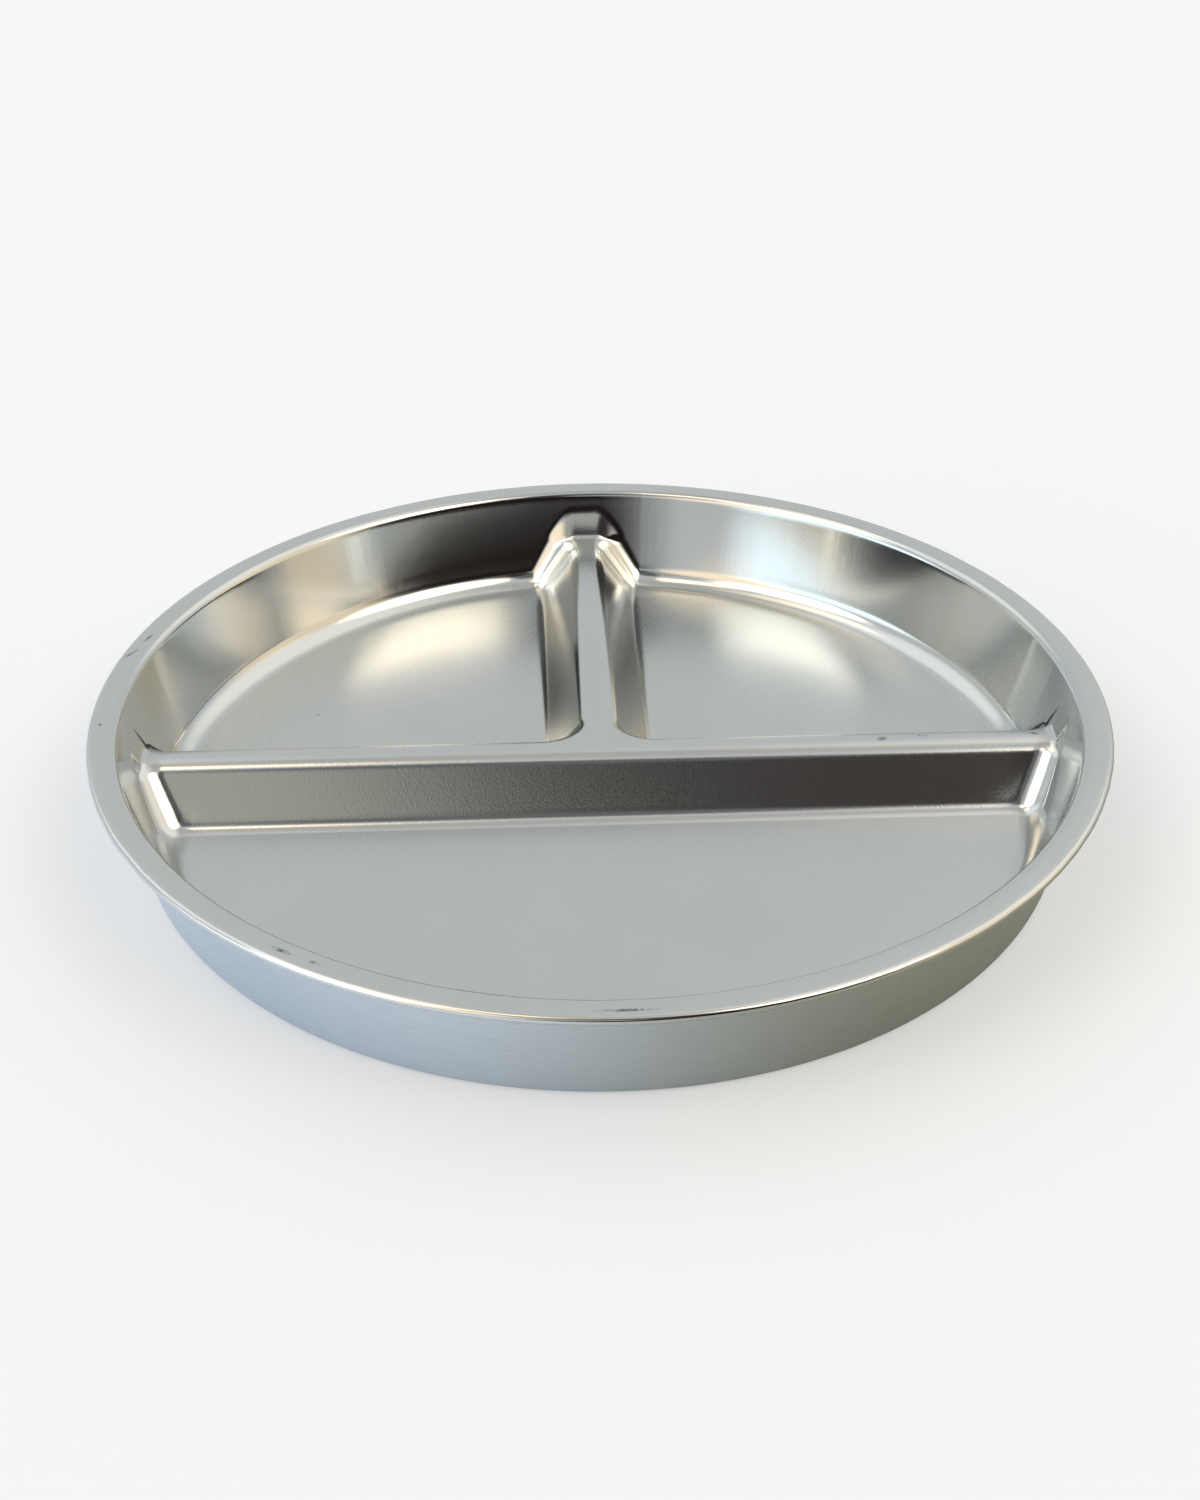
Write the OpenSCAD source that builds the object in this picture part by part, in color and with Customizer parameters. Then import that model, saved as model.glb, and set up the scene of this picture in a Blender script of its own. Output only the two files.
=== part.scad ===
// Divided compartment plate: two pressed steel sheets, one inside the other, hemmed together at the rim.
// The origin is the middle of the base, on the table. The divider's bar runs along X, its stem along +Y.

/* [Plate] */
// Diameter over the rolled rim
plate_d = 220; // [200:1:260]
// Height from the table to the top of the rim
plate_h = 25.7; // [24:0.1:32]
// Thickness of both sheets
sheet_t = 0.6; // [0.5:0.05:0.7]

/* [Rim] */
// Width of the flat rim, from the wall's line to the outer edge
rim_w = 6.9; // [6.5:0.1:12]
// Radius of the bend between the wall and the rim, on top
rim_bend_r = 1.6; // [1.2:0.1:2.4]
// How far the rolled edge runs back under the lip
hem_return = 1.3; // [0.8:0.1:1.6]
// Clearance between the layers of the rolled edge
seam_gap = 0.05; // [0.02:0.01:0.1]

/* [Tray] */
// Slope of both walls from upright, in degrees
wall_slope = 12.5; // [8:0.5:18]
// Radius between the tray's floor and wall
floor_fillet_r = 4.3; // [3:0.1:6]
// Air space between the tray's floor and the shell's base
floor_gap = 0.8; // [0.6:0.1:3]

/* [Shell] */
// Air space between the two walls, measured level
wall_gap = 2; // [1:0.1:2.2]
// Radius at the foot of the outer wall
base_corner_r = 2; // [1.2:0.1:3]
// Radius where the shell's wall turns out into its lip
lip_bend_r = 0.8; // [0.5:0.1:1]
// Width of the ring that the plate stands on
foot_ring_w = 13; // [8:1:30]
// Rise of the base inside that ring
base_rise = 0.5; // [0.2:0.1:0.8]

/* [Divider] */
// Height of the ridge above the tray's floor
ridge_h = 12; // [8:0.5:14]
// Width of the ridge's flat top
ridge_flat_w = 4.8; // [3:0.1:8]
// Radius along the ridge's top edges
ridge_edge_r = 1.3; // [1:0.1:2]
// Slope of the ridge's sides from upright, in degrees
ridge_slope = 37; // [20:1:40]
// Radius between the ridge's sides and the floor
ridge_foot_r = 3.2; // [2:0.1:5]
// Distance of the bar in front of the plate's middle
bar_offset = 4.8; // [0:0.1:15]
// Radius in plan where the stem meets the bar, at the top edge
junction_r = 9.8; // [9:0.1:14]
// Radius in plan where the ridge's sides meet the wall
end_flare_r = 5; // [3:0.5:7]
// How far each end climbs the wall above the ridge
climb_h = 6.7; // [3:0.1:7]
// How far the foot of each climbing end stands off the wall
climb_depth = 2.1; // [1:0.1:3]
// Width of each climbing end where it runs out
climb_w = 10.2; // [9.5:0.1:14]

/* [Hidden] */
$fn = 180;

steel_inside = "#b7bab8";
steel_outside = "#9aa3a8";

// Heights of the floors and sheets
base_in = base_rise + sheet_t;
floor_z = base_in + floor_gap + sheet_t;
sheet_level = sheet_t / cos(wall_slope);

// The rolled edge: two layers of the tray with the shell's lip between them
hem_r = (3 * sheet_t + 2 * seam_gap) / 2;
hem_c = [plate_d / 2 - hem_r, plate_h - hem_r];
lip_top = plate_h - sheet_t - seam_gap;
lip_under = lip_top - sheet_t;

// Radius of the tray's wall on its inside, at a height
function tray_r(z) = plate_d / 2 - rim_w - (plate_h - z) * tan(wall_slope);
// Radius of the shell's wall on its outside, at a height
function shell_r(z) = tray_r(z) + 2 * sheet_level + wall_gap;

// Centres of the bends, each touching the wall's line
fillet_z = floor_z + floor_fillet_r;
fillet_c = [tray_r(fillet_z) - floor_fillet_r / cos(wall_slope), fillet_z];
rim_bend_z = plate_h - rim_bend_r;
rim_bend_c = [tray_r(rim_bend_z) + rim_bend_r / cos(wall_slope), rim_bend_z];
corner_c = [shell_r(base_corner_r) - base_corner_r / cos(wall_slope), base_corner_r];
lip_bend_z = lip_under - lip_bend_r;
lip_bend_c = [shell_r(lip_bend_z) + lip_bend_r / cos(wall_slope), lip_bend_z];
foot_in_r = corner_c[0] - foot_ring_w;

// Radius of one face of the tray's sheet at a height, on the wall or on the fillet below it
fillet_top = fillet_z - floor_fillet_r * sin(wall_slope);
function sheet_r(z, depth) = z > fillet_top
    ? tray_r(z) + depth / cos(wall_slope)
    : fillet_c[0] + sqrt(max(pow(floor_fillet_r + depth, 2) - pow(fillet_z - z, 2), 0));

// Points of an arc from one angle to another
function arc(c, r, a0, a1, n) = [for (i = [0:n]) let (a = a0 + (a1 - a0) * i / n) c + r * [cos(a), sin(a)]];
function reversed(list) = [for (i = [len(list) - 1:-1:0]) list[i]];
function mirrored(list) = [for (i = [len(list) - 1:-1:0]) [-list[i][0], list[i][1]]];

// One face of the tray's sheet, from the middle of the floor to the end of the rolled edge.
// The depth below the upper face is 0 or the sheet's thickness.
function tray_face(depth) = concat(
    [[0, floor_z - depth]],
    arc(fillet_c, floor_fillet_r + depth, -90, -wall_slope, 9),
    arc(rim_bend_c, rim_bend_r - depth, 180 - wall_slope, 90, 6),
    arc(hem_c, hem_r - depth, 90, -90, 12),
    [[hem_c[0] - hem_return, hem_c[1] - hem_r + depth]]
);

// One face of the shell's sheet, from the middle of the base to the edge of the lip.
// The depth inward from the outer face is 0 or the sheet's thickness.
function shell_face(depth) = concat(
    [[0, base_rise + depth], [foot_in_r, base_rise + depth], [foot_in_r + 2 * base_rise, depth]],
    arc(corner_c, base_corner_r - depth, -90, -wall_slope, 6),
    arc(lip_bend_c, lip_bend_r + depth, 180 - wall_slope, 90, 5),
    [[hem_c[0], lip_under + depth]]
);

// The divider is a stack of level outlines. Each level is [height, half width of the ridge].
ridge_top = floor_z + ridge_h;
edge_c = [ridge_flat_w / 2, ridge_top - ridge_edge_r];
edge_w = edge_c[0] + ridge_edge_r * cos(ridge_slope);
edge_z = edge_c[1] + ridge_edge_r * sin(ridge_slope);
foot_z = floor_z + ridge_foot_r;
foot_c = [edge_w + (edge_z - foot_z) * tan(ridge_slope) + ridge_foot_r / cos(ridge_slope), foot_z];
foot_top = foot_z - ridge_foot_r * sin(ridge_slope);
// The foot's arc starts a little above level, so that it meets the floor at a clean edge
foot_a = 262;
// Depth to which the ridge reaches into the sheet that it joins, and its hollow past that sheet
embed = sheet_t / 2;
bar_y = -bar_offset;

function ridge_section(depth) = concat(
    arc(foot_c, ridge_foot_r + depth, foot_a, 180 + ridge_slope, 3),
    [for (z = [(foot_top + fillet_top) / 2, fillet_top])
        [edge_w + (edge_z - z) * tan(ridge_slope) - depth / cos(ridge_slope), z]],
    arc(edge_c, ridge_edge_r - depth, ridge_slope, 90, 3)
);
function ridge_levels(depth) = let (s = ridge_section(depth))
    concat([[floor_z - depth - embed, s[0][0]]], [for (p = s) [p[1], p[0]]]);

// Angle round the plate's middle of a flare's centre that lies off the ridge's axis by a distance
function flare_angle(off, out_r, flare_r) = asin(off / (out_r - flare_r));
function flare_run(off, out_r, flare_r) = sqrt(pow(out_r - flare_r, 2) - off * off);

// Steps in each flare, in the arc across an end and in each corner of the T
flare_n = 4;
end_n = 3;
join_n = 6;
function all_but_last(list) = [for (i = [0:len(list) - 2]) list[i]];
function all_but_first(list) = [for (i = [1:len(list) - 1]) list[i]];

// Right half of the T at one level, from the bar's front line round to the back of the stem.
// Its flares touch the circle that its ends lie on.
function half_outline(w, out_r, flare_r, join_r) = let (
    low = bar_y - w - flare_r,
    high = bar_y + w + flare_r,
    side = w + flare_r,
    low_a = flare_angle(low, out_r, flare_r),
    high_a = flare_angle(high, out_r, flare_r),
    side_a = 90 - flare_angle(side, out_r, flare_r)
) concat(
    all_but_last(arc([flare_run(low, out_r, flare_r), low], flare_r, 90, low_a, flare_n)),
    arc([0, 0], out_r, low_a, high_a, end_n),
    all_but_first(arc([flare_run(high, out_r, flare_r), high], flare_r, high_a, -90, flare_n)),
    arc([w + join_r, bar_y + w + join_r], join_r, 270, 180, join_n),
    all_but_last(arc([side, flare_run(side, out_r, flare_r)], flare_r, 180, side_a, flare_n)),
    arc([0, 0], out_r, side_a, 89, end_n)
);

// The T at one level of one face of the sheet
function ridge_outline(level, depth) = let (
    z = level[0],
    w = level[1],
    out_r = depth > 0 ? tray_r(z) + sheet_level + embed : (sheet_r(z, 0) + sheet_r(z, sheet_t)) / 2,
    join_r = max(junction_r - (w - edge_w), 0.6),
    half = half_outline(w, out_r, end_flare_r + depth, join_r)
) concat(half, mirrored(half));

// A climbing end at one level, drawn along +X, with the bar's or the stem's axis off the middle by a distance
function climb_outline(z, depth, axis_off) = let (
    rise = max((z - ridge_top) / climb_h, 0),
    face_r = tray_r(z) + depth / cos(wall_slope),
    stand_off = climb_depth * (1 - rise),
    half_w = edge_c[0] + ridge_edge_r / 2 + rise * ridge_edge_r - depth,
    wide = max(climb_w / 2 + (1 - rise) * end_flare_r / 2, half_w + embed),
    flank = [for (i = [0:flank_n]) let (a = 90 * i / flank_n)
        [wide - (wide - half_w) * cos(a), (embed + stand_off) * sin(a) - stand_off]]
) concat(
    [on_circle(face_r, axis_off, embed)],
    [for (p = reversed(flank)) on_circle(face_r, axis_off + p[0], p[1])],
    [for (p = flank) on_circle(face_r, axis_off - p[0], p[1])]
);
function on_circle(r, y, out) = [sqrt(r * r - y * y) + out, y];

// Steps in a climbing end's flank and in its height
flank_n = 4;
climb_n = 4;
climb_cap = concat([[0, 1, 2 * flank_n + 2]], strip(1, 2 * flank_n + 2, flank_n));
// It runs on past the wall's face, to this share of the depth that the ridge reaches into the sheet
climb_share = 0.6;
climb_top = ridge_top + climb_h * (1 + climb_share * embed / climb_depth);
climb_foot = ridge_top - ridge_edge_r;
function climb_heights(depth) = concat([climb_foot - depth], [for (i = [0:climb_n])
    ridge_top + (climb_top - ridge_top) * i / climb_n]);

// Triangles between two runs of points on one outline, one run counted up and the other down
function strip(up, down, n) = [for (i = [0:n - 1])
    each [[up + i, up + i + 1, down - i - 1], [up + i, down - i - 1, down - i]]];

// Triangles that close the T: its right end, its left end, its stem, and the bar between them
bar_n = 2 * flare_n + end_n + 1;
stem_n = join_n + flare_n + end_n + 2;
last_n = 2 * (bar_n + stem_n) - 1;
ridge_cap = concat(
    strip(0, bar_n - 1, bar_n / 2 - 1),
    strip(last_n - bar_n + 1, last_n, bar_n / 2 - 1),
    strip(bar_n, last_n - bar_n, stem_n - 1),
    [for (p = [[bar_n - 1, bar_n], [bar_n, last_n - bar_n], [last_n - bar_n, last_n - bar_n + 1],
        [last_n - bar_n + 1, last_n]]) [0, p[0], p[1]]]
);

// A solid through level outlines that all have the same number of points, closed by the cap's triangles
module stack(outlines, heights, cap) {
    n = len(outlines[0]);
    m = len(outlines);
    points = [for (i = [0:m - 1]) for (p = outlines[i]) [p[0], p[1], heights[i]]];
    sides = [for (i = [0:m - 2]) for (j = [0:n - 1]) let (k = (j + 1) % n)
        each [[i * n + j, (i + 1) * n + j, i * n + k], [i * n + k, (i + 1) * n + j, (i + 1) * n + k]]];
    top = [for (t = cap) [for (j = reversed(t)) (m - 1) * n + j]];
    polyhedron(points, concat(sides, cap, top), convexity = 8);
}

// The T-shaped ridge as the air sees it, or the hollow under it
module ridge(depth) {
    levels = ridge_levels(depth);
    stack([for (l = levels) ridge_outline(l, depth)], [for (l = levels) l[0]], ridge_cap);
}

// The three ends that climb the wall
module climbing_ends(depth) {
    heights = climb_heights(depth);
    // Turn of each end, and how far its axis lies to the left of the middle, seen along the end
    for (end = [[0, bar_y], [180, -bar_y], [90, 0]])
        rotate([0, 0, end[0]])
            stack([for (z = heights) climb_outline(z, depth, end[1])], heights, climb_cap);
}

module divided_tray() {
    color(steel_inside)
        difference() {
            union() {
                rotate_extrude()
                    polygon(concat(tray_face(0), reversed(tray_face(sheet_t))));
                ridge(0);
                climbing_ends(0);
            }
            ridge(sheet_t);
            climbing_ends(sheet_t);
        }
}

module outer_shell() {
    color(steel_outside)
        rotate_extrude()
            polygon(concat(shell_face(0), reversed(shell_face(sheet_t))));
}

divided_tray();
outer_shell();
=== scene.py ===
"""Dresses the divided compartment plate: its two pressed sheets, their steel, the table and the light."""

import logging
import math
from collections.abc import Callable
from dataclasses import dataclass
from enum import Enum

import bpy
import numpy as np
from mathutils import Matrix, Vector


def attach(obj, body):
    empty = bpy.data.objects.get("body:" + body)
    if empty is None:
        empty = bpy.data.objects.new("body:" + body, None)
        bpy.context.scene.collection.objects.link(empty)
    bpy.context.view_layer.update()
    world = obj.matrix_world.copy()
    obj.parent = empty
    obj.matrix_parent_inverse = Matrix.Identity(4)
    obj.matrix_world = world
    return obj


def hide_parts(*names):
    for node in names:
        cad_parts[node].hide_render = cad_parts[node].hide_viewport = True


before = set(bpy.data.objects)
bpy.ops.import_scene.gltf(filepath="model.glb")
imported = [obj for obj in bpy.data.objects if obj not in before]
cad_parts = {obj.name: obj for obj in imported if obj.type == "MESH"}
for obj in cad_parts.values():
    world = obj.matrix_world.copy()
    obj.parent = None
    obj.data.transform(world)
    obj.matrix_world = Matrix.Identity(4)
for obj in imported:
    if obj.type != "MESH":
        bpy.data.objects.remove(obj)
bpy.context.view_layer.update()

MM = 0.001
# A place times this keeps its level part and loses its height
LEVEL_PART = (1.0, 1.0, 0.0)
log = logging.getLogger("compartment_plate")

Piece = bpy.types.Object
Tree = bpy.types.NodeTree
Socket = bpy.types.NodeSocket
Pair = tuple[float, float]
Triple = tuple[float, float, float]


def srgb(code: str) -> tuple[float, float, float, float]:
    """Turn an sRGB hex colour into the linear colour that shaders take.

    Args:
        code: The colour as six hex digits after a hash sign.

    Returns:
        Linear red, green, blue and an alpha of 1.
    """
    parts = [int(code[i : i + 2], 16) / 255 for i in (1, 3, 5)]
    linear = [p / 12.92 if p <= 0.04045 else ((p + 0.055) / 1.055) ** 2.4 for p in parts]
    return (linear[0], linear[1], linear[2], 1.0)


def per_mm(size: float) -> float:
    """Give a texture scale whose features are this many millimetres across."""
    return 1.0 / (size * MM)


def add_node(tree: Tree, kind: str, feeds: dict | None = None, **settings: object) -> bpy.types.Node:
    """Add one shader node with its settings, its values and what feeds it.

    Args:
        tree: The node tree that gets the node.
        kind: The type name of the node.
        feeds: For an input's name or number, its value, or the output that is linked to it.
        **settings: The node's own properties.

    Returns:
        The new node.
    """
    made = tree.nodes.new(kind)
    for key, value in settings.items():
        setattr(made, key, value)
    for key, value in (feeds or {}).items():
        if isinstance(value, Socket):
            tree.links.new(value, made.inputs[key])
        else:
            made.inputs[key].default_value = value
    return made


def smooth_union(a: np.ndarray, b: np.ndarray, radius: np.ndarray | float) -> np.ndarray:
    """Join two solids, given by their distances, with a fillet between them.

    Args:
        a: Distance outside the first solid, negative inside.
        b: Distance outside the second solid.
        radius: Radius of the fillet.

    Returns:
        Distance outside the joined solid.
    """
    inside = np.hypot(np.maximum(radius - a, 0.0), np.maximum(radius - b, 0.0))
    return np.maximum(np.minimum(a, b), radius) - inside


def soft_min(a: np.ndarray, b: np.ndarray, width: float) -> np.ndarray:
    """Join two solids that meet at a shallow angle, with a small soft crease.

    Args:
        a: Distance outside the first solid, negative inside.
        b: Distance outside the second solid.
        width: How wide the crease is.

    Returns:
        Distance outside the joined solid.
    """
    near = np.maximum(width - np.abs(a - b), 0.0) / width
    return np.minimum(a, b) - near * near * width / 4.0


def rounded_edge(a: np.ndarray, b: np.ndarray, radius: float) -> np.ndarray:
    """Keep what lies in both solids, with a rounded edge where their faces meet.

    Args:
        a: Distance outside the first solid, negative inside.
        b: Distance outside the second solid.
        radius: Radius of the edge.

    Returns:
        Distance outside what both solids hold.
    """
    outside = np.hypot(np.maximum(a + radius, 0.0), np.maximum(b + radius, 0.0))
    return np.minimum(np.maximum(a, b), -radius) + outside


def fade(value: np.ndarray, start: float, end: float) -> np.ndarray:
    """Run smoothly from 0 at start to 1 at end."""
    share = np.clip((value - start) / (end - start), 0.0, 1.0)
    return share * share * (3.0 - 2.0 * share)


def arc_points(centre: Pair, radius: float, start: float, end: float, steps: int) -> list[Pair]:
    """Give points along an arc in the section of a round part.

    Args:
        centre: Radius and height of the arc's centre.
        radius: Radius of the arc.
        start: Angle of its first point in degrees.
        end: Angle of its last point in degrees.
        steps: How many chords it has.

    Returns:
        Radius and height of each point.
    """
    angles = np.radians(np.linspace(start, end, steps + 1))
    return [(centre[0] + radius * math.cos(a), centre[1] + radius * math.sin(a)) for a in angles]


def cuts(start: float, *runs: Pair) -> list[float]:
    """Place cuts out from a start, each run going on to its end at its own pitch.

    Args:
        start: Place of the first cut.
        *runs: Where each run ends, and its pitch.

    Returns:
        The place of every cut.
    """
    places = [start]
    for end, pitch in runs:
        count = max(1, round(abs(end - places[-1]) / pitch))
        places += list(np.linspace(places[-1], end, count + 1)[1:])
    return [float(p) for p in places]


def start_piece(name: str) -> Piece:
    """Name the primitive that was just added and open it in edit mode, with nothing else selected."""
    piece = bpy.context.active_object
    piece.name = name
    piece.data.name = name
    bpy.ops.object.mode_set(mode="EDIT")
    bpy.ops.mesh.select_mode(type="EDGE")
    return piece


def give_thickness(piece: Piece, thickness: float) -> None:
    """Turn a sheet's drawn face into a sheet of metal that lies behind that face.

    Args:
        piece: The sheet, in object mode.
        thickness: Thickness of the metal in millimetres.
    """
    sheet = piece.modifiers.new("sheet", "SOLIDIFY")
    sheet.thickness = thickness * MM
    sheet.offset = -1.0
    sheet.use_even_offset = True
    sheet.use_quality_normals = True
    bpy.ops.object.modifier_apply(modifier=sheet.name)
    bpy.ops.object.shade_smooth_by_angle(angle=math.radians(40.0))


def face_up(piece: Piece, up: bool) -> None:
    """Make all faces of an open sheet agree, with its middle looking up or down.

    Args:
        piece: The sheet, in edit mode.
        up: Whether the face nearest the middle looks up.
    """
    bpy.ops.mesh.select_all(action="SELECT")
    bpy.ops.mesh.normals_make_consistent(inside=False)
    bpy.ops.object.mode_set(mode="OBJECT")
    middle = min(piece.data.polygons, key=lambda face: face.center.xy.length)
    if (middle.normal.z > 0.0) != up:
        bpy.ops.object.mode_set(mode="EDIT")
        bpy.ops.mesh.select_all(action="SELECT")
        bpy.ops.mesh.flip_normals()
        bpy.ops.object.mode_set(mode="OBJECT")


class Grain(Enum):
    """Which way the fine marks in the steel's skin run."""

    BLASTED = "no direction"
    TURNED = "round the plate, as a lathe leaves it"


@dataclass(frozen=True)
class WearMark:
    """A scuff or speck that use has left, by its place on the plate seen from above."""

    # Middle, length and width in millimetres, and turn in degrees
    x: float
    y: float
    length: float
    width: float
    turn: float = 0.0
    # How far out from the middle, as a share of the half length, it starts to fade and is gone
    fades_from: float = 0.3
    gone_at: float = 1.1

    def mask(self, tree: Tree, place: Socket) -> Socket:
        """Draw the mark's shape.

        Args:
            tree: The material's nodes.
            place: The place on the piece in metres.

        Returns:
            A value of 1 in the mark's middle and 0 outside it.
        """
        middle = (self.x * MM, self.y * MM, 0.0)
        away = add_node(tree, "ShaderNodeVectorMath", {0: place, 1: middle}, operation="SUBTRACT")
        feeds = {"Vector": away.outputs[0], "Angle": -math.radians(self.turn)}
        turned = add_node(tree, "ShaderNodeVectorRotate", feeds, rotation_type="Z_AXIS")
        share = (2.0 / (self.length * MM), 2.0 / (self.width * MM), 0.0)
        sized = add_node(tree, "ShaderNodeVectorMath", {0: turned.outputs[0], 1: share}, operation="MULTIPLY")
        far = add_node(tree, "ShaderNodeVectorMath", {0: sized.outputs[0]}, operation="LENGTH")
        feeds = {"Value": far.outputs["Value"], "From Min": self.fades_from, "From Max": self.gone_at}
        feeds |= {"To Min": 1.0, "To Max": 0.0}
        return add_node(tree, "ShaderNodeMapRange", feeds, interpolation_type="SMOOTHSTEP").outputs["Result"]


@dataclass(frozen=True)
class SteelFinish:
    """One way that the stainless sheet is finished, as a material.

    Blasted grain is about 0.1 mm and turning marks are about 0.05 mm wide. Both are too fine to show in the
    render, so each finish draws them a few times coarser.
    """

    name: str
    # The two tones that the skin's soft clouds go between
    colour: str
    shade: str
    # Roughness of level skin, of the drawn wall and of the ridge's sides
    flat_roughness: float
    drawn_roughness: float
    ridge_roughness: float
    # Direction, size and depth of the grain
    grain: Grain
    grain_mm: float
    grain_depth_mm: float
    # Streaks that the press leaves up the wall: depth, width, and how far they are drawn out
    streak_depth_mm: float = 0.0
    streak_mm: float = 1.1
    streak_squeeze: float = 0.06
    # How far turning marks are drawn out, the size of the clouds, and how much the grain varies the roughness
    turned_squeeze: float = 0.02
    cloud_mm: float = 22.0
    roughness_swing: float = 0.12
    # The share of the grain's tilt that level skin and the wall keep, where the ridge's sides have all of it
    level_grain: float = 0.2
    # Upward part of the normal from which skin starts to count as level, and from which it is
    level_from: float = 0.9
    level_full: float = 0.99
    # Distance from the axis of the floor's end and of the wall's start, and the wall's own for its streaks
    floor_end_mm: float = 90.0
    wall_start_mm: float = 94.0
    wall_mm: float = 100.0
    # Marks of wear, their colour, what they add to the roughness, and the size of their broken spots
    marks: tuple[WearMark, ...] = ()
    worn_colour: str = "#6E7072"
    worn_roughness: float = 0.14
    worn_mm: float = 1.2

    def material(self) -> bpy.types.Material:
        """Build the node material of this finish.

        Returns:
            The material.
        """
        made = bpy.data.materials.new(self.name)
        made.use_nodes = True
        tree = made.node_tree
        tree.nodes.clear()
        where = add_node(tree, "ShaderNodeTexCoord")
        place = where.outputs["Object"]
        upward = add_node(tree, "ShaderNodeSeparateXYZ", {0: where.outputs["Normal"]}).outputs["Z"]
        feeds = {"Value": upward, "From Min": self.level_from, "From Max": self.level_full}
        level = add_node(tree, "ShaderNodeMapRange", feeds, interpolation_type="SMOOTHSTEP").outputs["Result"]
        on_wall = self.wall_share(tree, place)
        fine = self.grain_height(tree, place)
        noise = {"Vector": place, "Scale": per_mm(self.cloud_mm), "Detail": 3.0, "Roughness": 0.55}
        cloud = add_node(tree, "ShaderNodeTexNoise", noise).outputs["Fac"]
        tones = {"Factor": cloud, "A": srgb(self.colour), "B": srgb(self.shade)}
        tone = add_node(tree, "ShaderNodeMix", tones, data_type="RGBA").outputs["Result"]
        rough = self.skin_roughness(tree, level, on_wall, fine)
        worn = self.worn(tree, place)
        if worn is not None:
            rougher = {0: worn, 1: self.worn_roughness, 2: rough}
            rough = add_node(tree, "ShaderNodeMath", rougher, operation="MULTIPLY_ADD").outputs[0]
            darker = {"Factor": worn, "A": tone, "B": srgb(self.worn_colour)}
            tone = add_node(tree, "ShaderNodeMix", darker, data_type="RGBA").outputs["Result"]
        bump = self.grain_normal(tree, place, level, on_wall, fine)
        metal = {"Base Color": tone, "Metallic": 1.0, "Roughness": rough, "Normal": bump}
        steel = add_node(tree, "ShaderNodeBsdfPrincipled", metal)
        add_node(tree, "ShaderNodeOutputMaterial", {"Surface": steel.outputs["BSDF"]})
        return made

    def wall_share(self, tree: Tree, place: Socket) -> Socket:
        """Tell the wall from what stands inside it.

        Args:
            tree: The material's nodes.
            place: The place on the piece in metres.

        Returns:
            A value that goes from 0 on the floor to 1 on the wall.
        """
        flat = add_node(tree, "ShaderNodeVectorMath", {0: place, 1: LEVEL_PART}, operation="MULTIPLY")
        reach = add_node(tree, "ShaderNodeVectorMath", {0: flat.outputs[0]}, operation="LENGTH")
        feeds = {"Value": reach.outputs["Value"]}
        feeds |= {"From Min": self.floor_end_mm * MM, "From Max": self.wall_start_mm * MM}
        return add_node(tree, "ShaderNodeMapRange", feeds).outputs["Result"]

    def grain_height(self, tree: Tree, place: Socket) -> Socket:
        """Draw the height of the grain, drawn out round the plate where it is turned.

        Args:
            tree: The material's nodes.
            place: The place on the piece in metres.

        Returns:
            A noise about a middle of 0.5.
        """
        if self.grain is Grain.TURNED:
            parts = add_node(tree, "ShaderNodeSeparateXYZ", {0: place})
            flat = add_node(tree, "ShaderNodeVectorMath", {0: place, 1: LEVEL_PART}, operation="MULTIPLY")
            far = add_node(tree, "ShaderNodeVectorMath", {0: flat.outputs[0]}, operation="LENGTH")
            ring = add_node(tree, "ShaderNodeCombineXYZ", {0: far.outputs["Value"], 2: parts.outputs["Z"]})
            out = {0: flat.outputs[0], "Scale": self.turned_squeeze}
            slow = add_node(tree, "ShaderNodeVectorMath", out, operation="SCALE")
            both = {0: ring.outputs[0], 1: slow.outputs[0]}
            place = add_node(tree, "ShaderNodeVectorMath", both, operation="ADD").outputs[0]
        noise = {"Vector": place, "Scale": per_mm(self.grain_mm), "Detail": 2.0, "Roughness": 0.6}
        return add_node(tree, "ShaderNodeTexNoise", noise).outputs["Fac"]

    def skin_roughness(self, tree: Tree, level: Socket, on_wall: Socket, fine: Socket) -> Socket:
        """Set how rough each part of the plate is, with a little change from grain to grain.

        Args:
            tree: The material's nodes.
            level: How level the skin is.
            on_wall: Whether the skin is the wall's.
            fine: Height of the grain.

        Returns:
            The roughness.
        """
        feeds = {"Value": on_wall, "To Min": self.ridge_roughness, "To Max": self.drawn_roughness}
        steep = add_node(tree, "ShaderNodeMapRange", feeds).outputs["Result"]
        feeds = {"Value": level, "To Min": steep, "To Max": self.flat_roughness}
        rough = add_node(tree, "ShaderNodeMapRange", feeds).outputs["Result"]
        feeds = {"Value": fine, "From Min": 0.3, "From Max": 0.7}
        feeds |= {"To Min": 1.0 - self.roughness_swing, "To Max": 1.0 + self.roughness_swing}
        spread = add_node(tree, "ShaderNodeMapRange", feeds).outputs["Result"]
        return add_node(tree, "ShaderNodeMath", {0: rough, 1: spread}, operation="MULTIPLY").outputs[0]

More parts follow.
